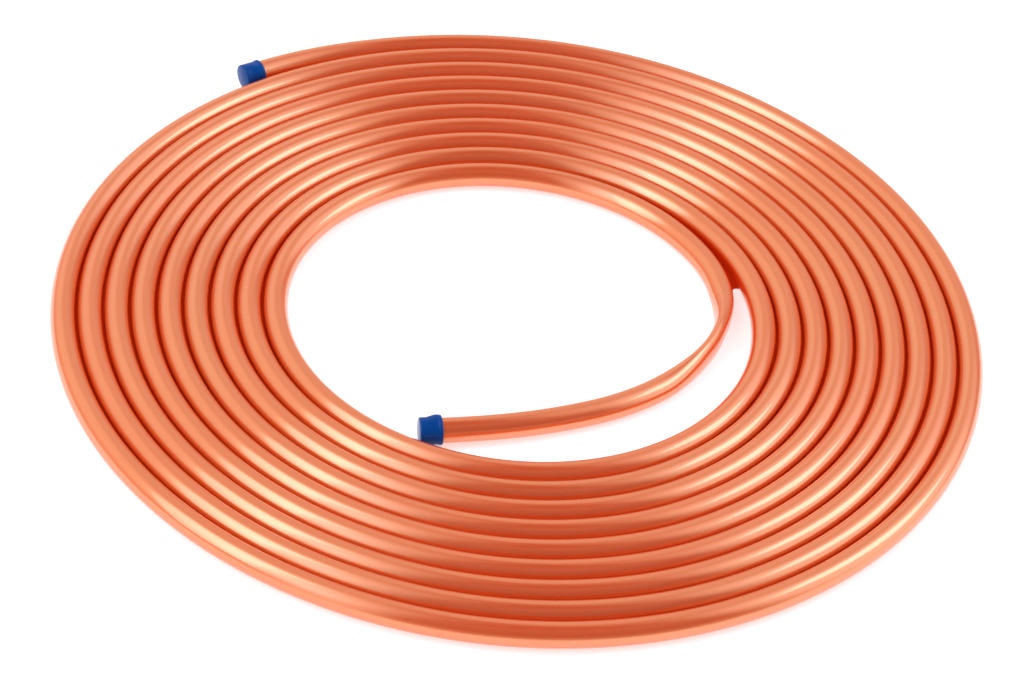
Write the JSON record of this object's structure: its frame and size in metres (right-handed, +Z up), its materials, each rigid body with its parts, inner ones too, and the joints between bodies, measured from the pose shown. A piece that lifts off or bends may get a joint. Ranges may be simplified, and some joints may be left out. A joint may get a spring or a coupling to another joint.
{
  "type": "copper tube coil",
  "caption": "Soft copper tube wound in a single flat spiral that lies on the floor, with its inner end pulled across the open eye and a push-on plastic cap on each end.",
  "frame": {"origin": "on the floor under the middle of the coil's bounding box", "axes": "+Z up, square to the plane of the coil, which lies flat; the outer end of the tube is at -X +Y and the inner end's cap at -X -Y"},
  "size_m": [0.7086, 0.7092, 0.0238],
  "materials": {
    "copper": "bright soft-drawn copper, satin polish",
    "cap_plastic": "blue moulded plastic, slightly glossy"
  },
  "bodies": {
    "root": {"copper_tube": "copper", "outer_end_cap": "cap_plastic", "inner_end_cap": "cap_plastic"}
  },
  "joints": []
}
